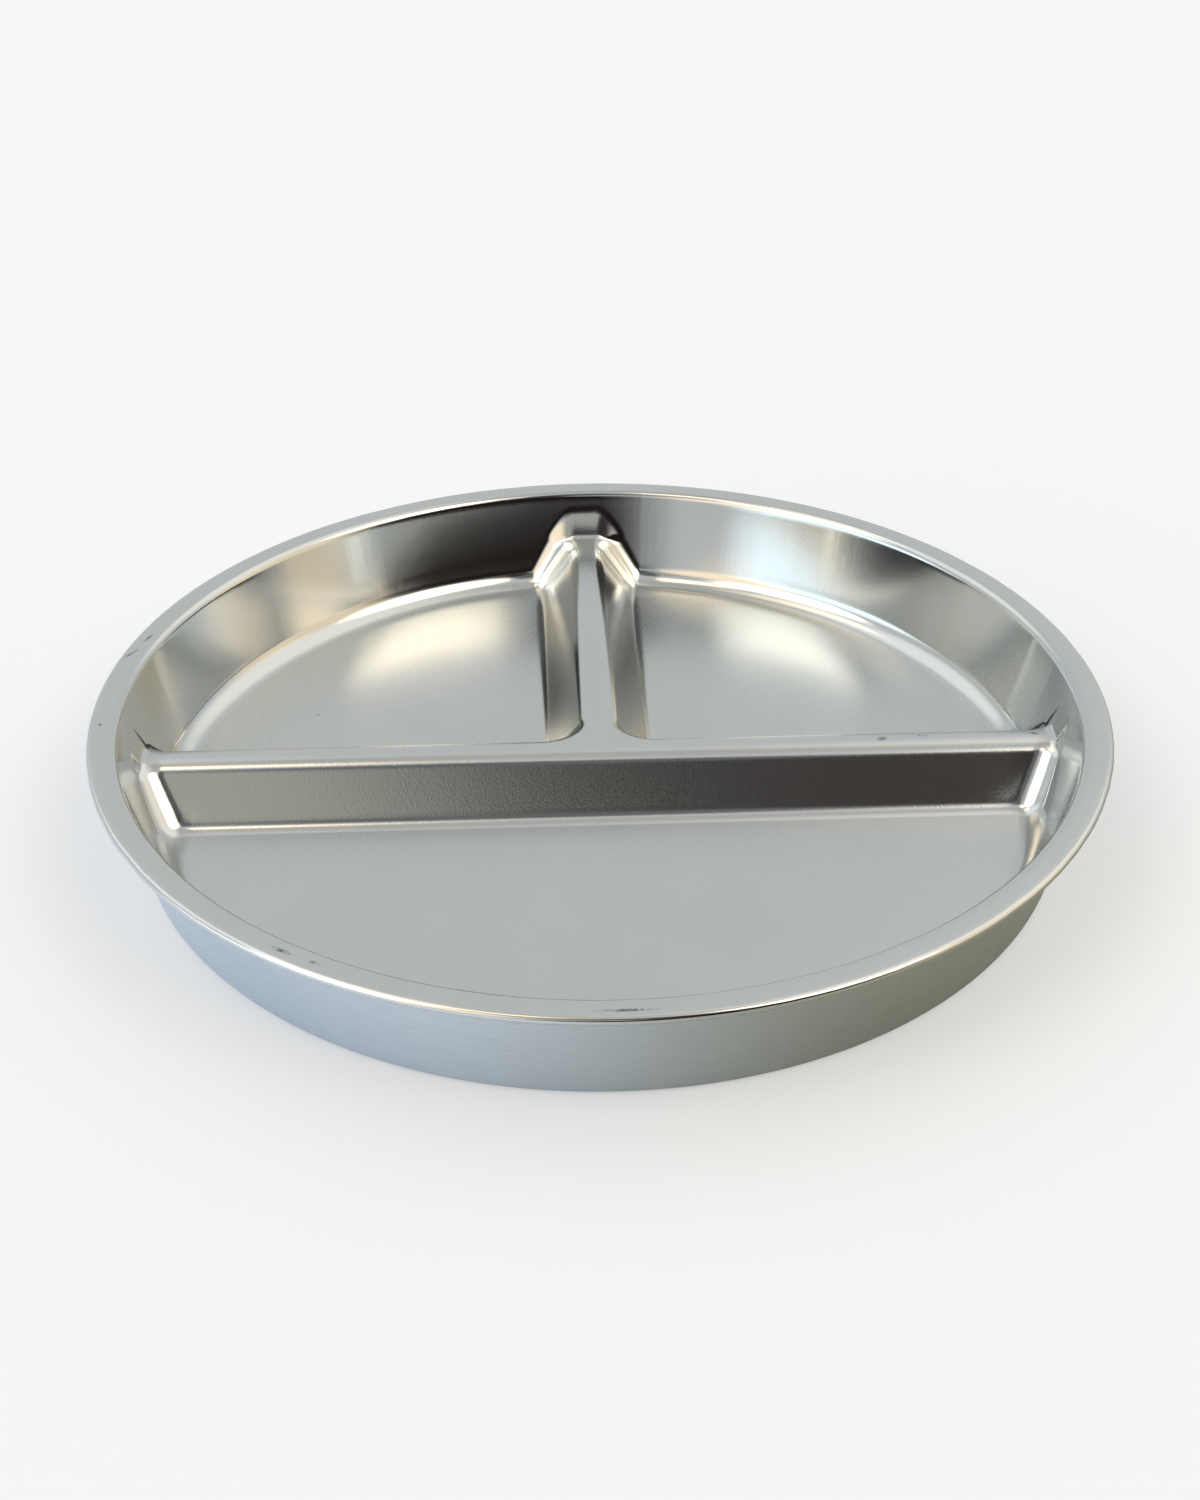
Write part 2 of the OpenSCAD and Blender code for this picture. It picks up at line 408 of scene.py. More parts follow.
    def grain_normal(self, tree: Tree, place: Socket, level: Socket, on_wall: Socket, fine: Socket) -> Socket:
        """Tilt the skin by its grain.

        A sheet with streaks is speckled on the ridge's sides, streaked up the wall and faint on level parts.

        Args:
            tree: The material's nodes.
            place: The place on the piece in metres.
            level: How level the skin is.
            on_wall: Whether the skin is the wall's.
            fine: Height of the grain.

        Returns:
            The tilted normal.
        """
        grained = {"Height": fine, "Distance": self.grain_depth_mm * MM, "Strength": 1.0}
        if self.streak_depth_mm == 0.0:
            return add_node(tree, "ShaderNodeBump", grained).outputs["Normal"]
        steep = add_node(tree, "ShaderNodeMath", {0: 1.0, 1: level}, operation="SUBTRACT").outputs[0]
        wall = add_node(tree, "ShaderNodeMath", {0: steep, 1: on_wall}, operation="MULTIPLY").outputs[0]
        ridge = add_node(tree, "ShaderNodeMath", {0: steep, 1: wall}, operation="SUBTRACT").outputs[0]
        share = {0: ridge, 1: 1.0 - self.level_grain, 2: self.level_grain}
        grained["Strength"] = add_node(tree, "ShaderNodeMath", share, operation="MULTIPLY_ADD").outputs[0]
        speckled = add_node(tree, "ShaderNodeBump", grained).outputs["Normal"]
        streaked = {"Height": self.streak_height(tree, place), "Distance": self.streak_depth_mm * MM}
        streaked |= {"Strength": wall, "Normal": speckled}
        return add_node(tree, "ShaderNodeBump", streaked).outputs["Normal"]

    def worn(self, tree: Tree, place: Socket) -> Socket | None:
        """Draw all wear marks, broken up by a coarse noise.

        Args:
            tree: The material's nodes.
            place: The place on the piece in metres.

        Returns:
            The share of wear, or nothing where the finish has no marks.
        """
        total = None
        for mark in self.marks:
            mask = mark.mask(tree, place)
            if total is None:
                total = mask
            else:
                total = add_node(tree, "ShaderNodeMath", {0: total, 1: mask}, operation="MAXIMUM").outputs[0]
        if total is None:
            return None
        noise = {"Vector": place, "Scale": per_mm(self.worn_mm), "Detail": 3.0, "Roughness": 0.7}
        broken = add_node(tree, "ShaderNodeTexNoise", noise).outputs["Fac"]
        feeds = {"Value": broken, "From Min": 0.35, "From Max": 0.6}
        patchy = add_node(tree, "ShaderNodeMapRange", feeds).outputs["Result"]
        return add_node(tree, "ShaderNodeMath", {0: total, 1: patchy}, operation="MULTIPLY").outputs[0]

    def streak_height(self, tree: Tree, place: Socket) -> Socket:
        """Draw the height of the streaks, true to size round the wall and drawn out up it.

        Args:
            tree: The material's nodes.
            place: The place on the piece in metres.

        Returns:
            A noise about a middle of 0.5.
        """
        flat = add_node(tree, "ShaderNodeVectorMath", {0: place, 1: LEVEL_PART}, operation="MULTIPLY")
        ray = add_node(tree, "ShaderNodeVectorMath", {0: flat.outputs[0]}, operation="NORMALIZE")
        round_wall = {0: ray.outputs[0], "Scale": self.wall_mm * MM}
        girth = add_node(tree, "ShaderNodeVectorMath", round_wall, operation="SCALE")
        up = {0: place, 1: (0.0, 0.0, self.streak_squeeze)}
        slow = add_node(tree, "ShaderNodeVectorMath", up, operation="MULTIPLY")
        both = {0: girth.outputs[0], 1: slow.outputs[0]}
        place = add_node(tree, "ShaderNodeVectorMath", both, operation="ADD").outputs[0]
        noise = {"Vector": place, "Scale": per_mm(self.streak_mm), "Detail": 3.0, "Roughness": 0.6}
        return add_node(tree, "ShaderNodeTexNoise", noise).outputs["Fac"]


# The larger marks of use in the photograph: on the bar, on the flange and on the floor at the back left
WEAR = (
    WearMark(62.3, -4.7, 3.2, 2.0, 20.0),
    WearMark(71.4, -3.8, 2.6, 1.4),
    WearMark(96.3, -4.2, 3.0, 1.2, 150.0),
    WearMark(-105.6, 21.6, 6.5, 1.1, 58.0),
    WearMark(-103.0, 28.5, 5.0, 0.9, 66.0),
    WearMark(-107.0, -9.4, 1.6, 1.0, 80.0),
    WearMark(-60.5, -88.4, 6.0, 1.4, -33.0),
    WearMark(-54.0, -92.4, 3.0, 0.9, -30.0),
    WearMark(0.5, -107.6, 13.0, 1.0),
    WearMark(-66.1, 31.0, 1.2, 0.8, 30.0),
    WearMark(-76.5, 21.1, 0.9, 0.7),
)

# Pressed stainless sheet, fine-blasted: level parts blur what they reflect, and the parts that the press has
# drawn and rubbed along its tool are smoother and carry faint streaks up the wall
SATIN_STEEL = SteelFinish(
    name="pressed stainless steel, satin",
    colour="#C9CBC9",
    shade="#C1C4C4",
    flat_roughness=0.25,
    drawn_roughness=0.11,
    ridge_roughness=0.14,
    grain=Grain.BLASTED,
    grain_mm=0.5,
    grain_depth_mm=0.014,
    streak_depth_mm=0.008,
    marks=WEAR,
)
# The same sheet where the rolling tool has rubbed it bright, with its marks round the plate
POLISHED_STEEL = SteelFinish(
    name="rolled stainless steel, polished",
    colour="#D2D2CF",
    shade="#C6C6C4",
    flat_roughness=0.16,
    drawn_roughness=0.12,
    ridge_roughness=0.12,
    grain=Grain.TURNED,
    grain_mm=0.25,
    grain_depth_mm=0.002,
)
# The outer sheet: satin with a faint grain that runs round it, so that it mirrors the room as a soft haze
TURNED_STEEL = SteelFinish(
    name="pressed stainless steel, turned satin",
    colour="#D3D7DA",
    shade="#CBD0D4",
    flat_roughness=0.34,
    drawn_roughness=0.30,
    ridge_roughness=0.30,
    grain=Grain.TURNED,
    grain_mm=0.4,
    grain_depth_mm=0.003,
)


@dataclass(frozen=True)
class PlateSize:
    """The sizes that both sheets share, in millimetres."""

    diameter: float = 220.0
    height: float = 25.7
    sheet: float = 0.6
    seam_gap: float = 0.05

    @property
    def hem(self) -> Triple:
        """Give the rolled edge's centre and radius: three sheets and two gaps thick, out to the full size."""
        radius = (3.0 * self.sheet + 2.0 * self.seam_gap) / 2.0
        return (self.diameter / 2.0 - radius, self.height - radius, radius)

    @property
    def lip_under(self) -> float:
        """Give the height of the lip's underside, with the lip, a gap and the tray's flange above it."""
        return self.height - 2.0 * self.sheet - self.seam_gap


@dataclass(frozen=True)
class RidgeEnd:
    """How one end of the ridge runs into the wall: a flare on each side and a tongue that climbs the wall."""

    # Radius of the flares low down and at the ridge's top, and how far they bite into the wall
    flare: float
    flare_top: float
    bite: float
    # How far the tongue stands off the wall at its foot, and half the width of its face at foot and tip
    climb_depth: float
    climb_half: Pair
    # Half the width that the tongue has with its rounded sides, by height
    outline: tuple[Pair, ...]
    # Height from which the flares change, and how much flatter than straight a tongue is near its tip
    flare_from: float = 6.0
    hollow: float = 0.2

    def tongue(self, along: np.ndarray, z: np.ndarray, foot: float, top: float) -> np.ndarray:
        """Give how far the tongue stands off the wall.

        Args:
            along: Distance along the wall from the ridge's middle.
            z: Height.
            foot: Height of the tongue's foot.
            top: Height of its tip.

        Returns:
            The stand-off.
        """
        left = 1.0 - np.clip((z - foot) / (top - foot), 0.0, 1.0)
        depth = self.climb_depth * left * (1.0 - self.hollow + self.hollow * left)
        at_foot, at_tip = self.climb_half
        half = at_tip + (at_foot - at_tip) * left
        side = np.interp(z, *zip(*self.outline)) - half
        narrowest = 0.01
        share = np.clip((np.abs(along) - half) / np.maximum(side, narrowest), 0.0, 1.0)
        return depth * (1.0 - share * share)

    def side_flare(self, z: np.ndarray, top: float) -> np.ndarray:
        """Give the radius of the flares between the ridge's sides and the wall.

        Args:
            z: Height.
            top: Height of the ridge's top.

        Returns:
            The radius.
        """
        share = np.clip((z - self.flare_from) / (top - self.flare_from), 0.0, 1.0)
        return self.flare + (self.flare_top - self.flare) * share


PLATE = PlateSize()
STEM_END = RidgeEnd(
    flare=6.6,
    flare_top=8.0,
    bite=0.5,
    climb_depth=2.1,
    climb_half=(2.4, 2.6),
    outline=((14.5, 9.9), (16.0, 9.0), (18.0, 7.6), (19.5, 6.4), (20.5, 5.4), (21.2, 4.5)),
)
BAR_END = RidgeEnd(
    flare=6.2,
    flare_top=4.9,
    bite=0.3,
    climb_depth=1.0,
    climb_half=(2.6, 3.2),
    outline=((14.5, 6.6), (16.0, 6.0), (18.0, 5.2), (20.0, 4.3), (21.2, 3.4)),
)


@dataclass
class DividedTray:
    """The inner sheet: floor, wall, T-shaped ridge, flange and rolled edge, pressed from one blank."""

    name: str = "divided_tray_sheet"
    size: PlateSize = PLATE
    # The wall: its mean lean, how far inside the edge its line reaches the full height, how hollow it is, and
    # the width of the crease where a tongue runs out on it
    wall_slope: float = 16.6
    rim_width: float = 5.946
    wall_hollow: float = 0.34
    crease: float = 0.5
    # The bend from the wall to the flange: its radius, and the wall's lean where it starts
    rim_bend: float = 2.0
    rim_lean: float = 13.2
    # Rings this far from the centres of the flange's two bends keep the flange flat
    flange_rings: Pair = (1.5, 1.0)
    # How far the hem's end runs back under the lip, and how far in from its centre the polish reaches
    hem_return: float = 1.3
    polish_lap: float = 0.2
    # The floor's height, and the fillet between it and the wall
    floor_level: float = 2.5
    floor_fillet: float = 3.9
    # The ridge: height, half its flat top, radius of its top edges, lean of its sides, fillet at its foot
    ridge_top: float = 14.5
    ridge_flat: float = 2.15
    ridge_edge: float = 1.8
    ridge_slope: float = 37.0
    ridge_foot: float = 1.4
    # The bar's middle line, and how far from both middle lines the T's inside corners are centred
    bar_y: float = -4.8
    junction: float = 13.24
    # Height of the tongues' tips, and the fillet at their feet: in the middle, at the sides, and its change
    climb_top: float = 21.2
    climb_fillet: Pair = (0.9, 0.05)
    climb_sides: Pair = (3.0, 6.0)
    # How much nearer to the wall than to the ridge's side the ridge's foot starts to widen, and has widened
    foot_widens: Pair = (-3.0, 6.0)
    # The blank: its radius, how far apart points are still merged, and the sides that it is trimmed to
    blank_reach: float = 93.0
    merge_within: float = 0.06
    trim_sides: int = 180
    # The first ring round the blank, and the end and pitch of each run of rings up to the bend of the rim
    first_ring: float = 93.3
    ring_runs: tuple[Pair, ...] = ((96.9, 0.4), (97.5, 0.3), (98.0, 0.25), (98.2, 0.2), (103.56, 0.21))

    @property
    def wall_end(self) -> float:
        """Give the height at which the wall runs into the bend of the rim."""
        return self.size.height - self.rim_bend * (1.0 - math.sin(math.radians(self.rim_lean)))

    def wall_at(self, z: np.ndarray | float) -> np.ndarray | float:
        """Give the radius of the wall's inner face at a height.

        The press leaves the wall a little hollow, so it leans about 20 degrees at its foot and 13 at its top.

        Args:
            z: Height.

        Returns:
            The radius.
        """
        share = np.clip((z - self.floor_level) / (self.wall_end - self.floor_level), 0.0, 1.0)
        top = self.size.diameter / 2.0 - self.rim_width
        straight = top - (self.size.height - z) * math.tan(math.radians(self.wall_slope))
        return straight + 4.0 * self.wall_hollow * share * (1.0 - share)

    def off_ridge(self, x: np.ndarray, y: np.ndarray) -> np.ndarray:
        """Give the distance from the middle line of the T, with its two inside corners rounded in plan.

        Args:
            x: Place across the plate.
            y: Place along the plate.

        Returns:
            The distance from the ridge's middle line.
        """
        off_stem = np.abs(x)
        off_bar = y - self.bar_y
        corner = self.junction - np.hypot(self.junction - off_stem, self.junction - off_bar)
        inside = (off_stem < self.junction) & (off_bar < self.junction)
        behind = np.where(inside, np.maximum(corner, 0.0), np.minimum(off_stem, off_bar))
        return np.where(off_bar < 0, -off_bar, behind)

    def off_metal(self, x: np.ndarray, y: np.ndarray, z: np.ndarray) -> np.ndarray:
        """Give the distance above the tray's upper face, negative in the metal.

        Args:
            x: Place across the plate.
            y: Place along the plate.
            z: Height.

        Returns:
            The distance.
        """
        slope = math.radians(self.wall_slope)
        lean = math.radians(self.ridge_slope)
        # Where no tongue stands out, the crease takes off a quarter of its width, which is added here
        off_wall = (self.wall_at(z) - np.hypot(x, y)) * math.cos(slope) + self.crease / 4.0
        edge_w = self.ridge_flat + self.ridge_edge * math.cos(lean)
        edge_z = self.ridge_top - self.ridge_edge * (1 - math.sin(lean))
        flank = (self.off_ridge(x, y) - (edge_w + (edge_z - z) * math.tan(lean))) * math.cos(lean)
        at_stem = y > np.abs(x)
        along = np.abs(np.where(at_stem, x, y - self.bar_y))
        in_middle, at_sides = self.climb_fillet
        fillet = at_sides + (in_middle - at_sides) * (1.0 - fade(along, *self.climb_sides))
        sides = np.zeros_like(z)
        for end, here in ((STEM_END, at_stem), (BAR_END, ~at_stem)):
            side = smooth_union(flank, off_wall + end.bite, end.side_flare(z, self.ridge_top))
            block = rounded_edge(side, z - self.ridge_top, self.ridge_edge)
            climb = off_wall - end.tongue(along, z, self.ridge_top, self.climb_top) * math.cos(slope)
            both = soft_min(smooth_union(block, climb, fillet), off_wall, self.crease)
            sides = np.where(here, both, sides)
        near_wall = fade(flank - off_wall, *self.foot_widens)
        foot = self.ridge_foot + (self.floor_fillet - self.ridge_foot) * near_wall
        return smooth_union(z - self.floor_level, sides, foot)

    def press(self, x: np.ndarray, y: np.ndarray) -> np.ndarray:
        """Give the height to which the press takes each place of the blank, by halving the range it lies in.

        Args:
            x: Place across the plate.
            y: Place along the plate.

        Returns:
            The height of the upper face.
        """
        margin = 0.5
        halvings = 40
        low = np.full_like(x, self.floor_level - margin)
        high = np.full_like(x, self.size.height + margin)
        for _ in range(halvings):
            middle = (low + high) / 2.0
            above = self.off_metal(x, y, middle) > 0.0
            high = np.where(above, middle, high)
            low = np.where(above, low, middle)
        return (low + high) / 2.0

    def cut(self, place: float, across: Vector, trim: bool = False) -> None:
        """Cut the shown faces of the blank along a line.

        Args:
            place: Distance of the line from the middle, in millimetres.
            across: Direction across the line.
            trim: Whether what lies beyond the line goes.
        """
        bpy.ops.mesh.select_all(action="SELECT")
        bpy.ops.mesh.bisect(plane_co=across * place * MM, plane_no=across, clear_outer=trim)

    def hide_where(self, piece: Piece, far: Callable[[Vector], bool]) -> None:
        """Hide the faces whose middle passes a test, so that the next cuts spare them.

        Args:
            piece: The blank, in edit mode.
            far: Test of a face's middle, in millimetres.
        """
        bpy.ops.mesh.select_mode(type="FACE")
        bpy.ops.mesh.select_all(action="DESELECT")
        bpy.ops.object.mode_set(mode="OBJECT")
        for face in piece.data.polygons:
            face.select = bool(far(face.center / MM))
        bpy.ops.object.mode_set(mode="EDIT")
        bpy.ops.mesh.hide(unselected=False)

    def draw_blank(self) -> Piece:
        """Cut the flat blank into the fine strips that the ridge needs, and wider ones beside them.

        Returns:
            The blank, still with its corners, in edit mode.
        """
        margin = 3.0
        side = 2.0 * (self.blank_reach + margin)
        bpy.ops.mesh.primitive_plane_add(size=side * MM, location=(0.0, 0.0, 0.0))
        piece = start_piece(self.name)
        across_x, across_y = Vector((1.0, 0.0, 0.0)), Vector((0.0, 1.0, 0.0))
        # Fine over the ridge's sides, then wider out to the end of the T's inside corners
        strips = cuts(self.ridge_flat, (6.6, 0.3), (13.8, 0.6))
        beside_bar = [self.bar_y + s for s in strips] + [self.bar_y - s for s in strips]
        front_floor = cuts(-80.0, (-66.0, 14.0), (-30.0, 12.0))
        back_floor = cuts(20.0, (68.0, 12.0), (78.0, 10.0))
        for place in [self.bar_y] + beside_bar + front_floor + back_floor:
            self.cut(place, across_y)
        for place in cuts(24.0, (72.0, 12.0), (81.0, 9.0), (86.0, 5.0), (89.0, 3.0), (91.0, 2.0)):
            self.cut(place, across_x)
            self.cut(-place, across_x)
        self.hide_where(piece, lambda middle: middle.y < self.bar_y)
        for place in strips:
            self.cut(place, across_x)
            self.cut(-place, across_x)
        self.hide_where(piece, lambda middle: abs(middle.x) > strips[-1])
        for place in cuts(83.0, (87.0, 4.0), (90.0, 3.0)):
            self.cut(place, across_y)
        bpy.ops.mesh.reveal(select=False)
        bpy.ops.mesh.select_mode(type="VERT")
        return piece

    def trim_round(self, piece: Piece) -> None:
        """Trim the blank to a many-sided disc, move its corners onto the true circle, and select that edge.

        Args:
            piece: The blank, in edit mode.
        """
        for step in range(self.trim_sides):
            turn = 2.0 * math.pi * (step + 0.5) / self.trim_sides
            self.cut(self.blank_reach, Vector((math.cos(turn), math.sin(turn), 0.0)), trim=True)
        bpy.ops.mesh.select_all(action="SELECT")
        bpy.ops.mesh.remove_doubles(threshold=self.merge_within * MM)
        bpy.ops.mesh.select_all(action="DESELECT")
        bpy.ops.mesh.select_non_manifold(
            extend=False, use_wire=False, use_multi_face=False, use_non_contiguous=False
        )
        bpy.ops.object.mode_set(mode="OBJECT")
        for point in piece.data.vertices:
            if point.select:
                point.co.xy *= self.blank_reach * MM / point.co.xy.length
        bpy.ops.object.mode_set(mode="EDIT")

    def draw_ring(self, start: Pair, end: Pair) -> None:
        """Pull the sheet's edge on to its next radius and height.

        Args:
            start: Radius and height of the edge now.
            end: Radius and height of the edge after it.
        """
        grow = end[0] / start[0]
        bpy.ops.mesh.extrude_region()
        bpy.ops.transform.resize(value=(grow, grow, 1.0), center_override=(0.0, 0.0, 0.0))
        if end[1] != start[1]:
            bpy.ops.transform.translate(value=(0.0, 0.0, (end[1] - start[1]) * MM))

    def rim_profile(self) -> list[Pair]:
        """Give the section of the rim: the bend at the wall's top, the flange and the rolled hem.

        Returns:
            Radius and height of each point.
        """
        height = self.size.height
        bend_r = float(self.wall_at(self.wall_end)) + self.rim_bend * math.cos(math.radians(self.rim_lean))
        bend = (bend_r, height - self.rim_bend)
        hem_r, hem_z, hem = self.size.hem
        from_bend, from_hem = self.flange_rings
        points = arc_points(bend, self.rim_bend, 180.0 - self.rim_lean, 90.0, steps=10)[1:]
        points += [(bend_r + from_bend, height), (hem_r - from_hem, height)]
        points += arc_points((hem_r, hem_z), hem, 90.0, -90.0, steps=14)
        return points + [(hem_r - self.hem_return, hem_z - hem)]

    def build(self) -> Piece:
        """Draw the blank with its rings and its rim, and press all that is still flat.

        Returns:
            The finished piece.
        """
        piece = self.draw_blank()
        self.trim_round(piece)
        rings = [(radius, 0.0) for radius in cuts(self.first_ring, *self.ring_runs)]
        place = (self.blank_reach, 0.0)
        for point in rings + self.rim_profile():
            self.draw_ring(place, point)
            place = point
        bpy.ops.object.mode_set(mode="OBJECT")
        flat = np.empty(len(piece.data.vertices) * 3)
        piece.data.vertices.foreach_get("co", flat)
        points = flat.reshape(-1, 3) / MM
        unpressed = points[:, 2] < self.floor_level
        points[unpressed, 2] = self.press(points[unpressed, 0], points[unpressed, 1])
        piece.data.vertices.foreach_set("co", (points * MM).ravel())
        piece.data.update()
        bpy.ops.object.mode_set(mode="EDIT")
        face_up(piece, up=True)
        give_thickness(piece, self.size.sheet)
        return piece

    def dress(self, piece: Piece) -> None:
        """Give the sheet its satin skin, and the rolled edge its polish.

        Args:
            piece: The pressed tray.
        """
        for finish in (SATIN_STEEL, POLISHED_STEEL):
            piece.data.materials.append(finish.material())
        bright = (self.size.hem[0] - self.polish_lap) * MM
        for face in piece.data.polygons:
            face.material_index = int(face.center.xy.length > bright)


@dataclass
class OuterShell:
    """The outer sheet: base, sloping wall and the lip that the tray's edge is rolled over."""

    name: str = "outer_shell_sheet"
    size: PlateSize = PLATE
    # The wall's lean, and the radius at which its line would reach the plate's full height
    wall_slope: float = 12.5
    wall_top: float = 106.329
    # Radius of the corner at the wall's foot, and of the bend into the lip
    corner: float = 2.0
    lip_bend: float = 0.8
    # How far the middle of the base is raised, and how wide the ring is that the plate stands on
    base_rise: float = 0.5
    foot_ring: float = 13.0
    # One ring on the base, and rings this close to the step and to the corner, which keep the flat parts flat
    base_ring: float = 40.0
    near_step: float = 0.4
    near_corner: float = 0.3

    def bend_centre(self, height: float, radius: float) -> Pair:
        """Give the centre of a bend that touches the wall's line.

        Args:
            height: Height of the centre.
            radius: Radius of the bend, negative where its centre lies inside the line.

        Returns:
            Radius and height of the centre.
        """
        slope = math.radians(self.wall_slope)
        line = self.wall_top - (self.size.height - height) * math.tan(slope)
        return (line + radius / math.cos(slope), height)

    def profile(self) -> list[Pair]:
        """Give the section of the sheet's outer face, from the middle of the base to the end of the lip.

        Returns:
            Radius and height of each point.
        """
        corner = self.bend_centre(self.corner, -self.corner)
        lip = self.bend_centre(self.size.lip_under - self.lip_bend, self.lip_bend)
        step_in = corner[0] - self.foot_ring
        step_out = step_in + 2.0 * self.base_rise
        points = [(0.0, self.base_rise), (self.base_ring, self.base_rise)]
        points += [(step_in - self.near_step, self.base_rise), (step_in, self.base_rise)]
        points += [(step_out, 0.0), (step_out + self.near_step, 0.0), (corner[0] - self.near_corner, 0.0)]
        points += arc_points(corner, self.corner, -90.0, -self.wall_slope, steps=8)
        points += arc_points(lip, self.lip_bend, 180.0 - self.wall_slope, 90.0, steps=6)
        return points + [(self.size.hem[0], self.size.lip_under)]

    def build(self) -> Piece:
        """Spin the sheet's outer face round the plate's axis, then give it its thickness.

        Returns:
            The finished piece.
        """
        profile = self.profile()
        # A small circle, merged into the one point from which the section is drawn
        bpy.ops.mesh.primitive_circle_add(vertices=3, radius=1.0 * MM, fill_type="NOTHING")
        piece = start_piece(self.name)
        bpy.ops.mesh.select_mode(type="VERT")
        bpy.ops.mesh.select_all(action="SELECT")
        bpy.ops.mesh.merge(type="CENTER")
        bpy.ops.transform.translate(value=(0.0, 0.0, profile[0][1] * MM))
        for before, after in zip(profile, profile[1:]):
            step = ((after[0] - before[0]) * MM, 0.0, (after[1] - before[1]) * MM)
            bpy.ops.mesh.extrude_region()
            bpy.ops.transform.translate(value=step)
        bpy.ops.mesh.select_all(action="SELECT")
        bpy.ops.mesh.spin(steps=240, angle=2.0 * math.pi, center=(0.0, 0.0, 0.0), axis=(0.0, 0.0, 1.0))
        bpy.ops.mesh.select_all(action="SELECT")
        bpy.ops.mesh.remove_doubles(threshold=0.01 * MM)
        face_up(piece, up=False)
        give_thickness(piece, self.size.sheet)
        return piece

    def dress(self, piece: Piece) -> None:
        """Give the shell its turned satin finish."""
        piece.data.materials.append(TURNED_STEEL.material())


@dataclass(frozen=True)
class Glow:
    """A soft patch of the room, by the direction it is seen in from the plate."""

    # Direction of its middle in degrees: round from +X towards +Y, and up from the horizon
    azimuth: float
    elevation: float
    # Angles from its middle up to which it is full, and past which it is gone
    inner: float
    outer: float
    radiance: Triple
    # Above 1 it is wider than it is high
    flatten: float = 1.0
    # Whether it hides what is behind it, instead of adding to it
    covers: bool = False

    def paint(self, tree: Tree, look: Socket, colour: Socket) -> Socket:
        """Add the patch to the room, or let it hide the room behind it.

        Args:
            tree: The world's nodes.
            look: The direction that is looked in.
            colour: The room's colour so far.

        Returns:
            The room's colour with the patch in it.
        """
        turn, lift = math.radians(self.azimuth), math.radians(self.elevation)
        flat = (1.0, 1.0, self.flatten)
        level = math.cos(lift)
        aim = Vector((level * math.cos(turn), level * math.sin(turn), math.sin(lift) * self.flatten))
        scaled = add_node(tree, "ShaderNodeVectorMath", {0: look, 1: flat}, operation="MULTIPLY")
        ray = add_node(tree, "ShaderNodeVectorMath", {0: scaled.outputs[0]}, operation="NORMALIZE")
        rays = {0: ray.outputs[0], 1: aim.normalized()}
        facing = add_node(tree, "ShaderNodeVectorMath", rays, operation="DOT_PRODUCT").outputs["Value"]
        gone, full = math.cos(math.radians(self.outer)), math.cos(math.radians(self.inner))
        feeds = {"Value": facing, "From Min": gone, "From Max": full}
        amount = add_node(tree, "ShaderNodeMapRange", feeds, interpolation_type="SMOOTHSTEP")
        return add_node(
            tree,
            "ShaderNodeMix",
            {"Factor": amount.outputs["Result"], "A": colour, "B": (*self.radiance, 1.0)},
            data_type="RGBA",
            blend_type="MIX" if self.covers else "ADD",
            clamp_result=False,
        ).outputs["Result"]


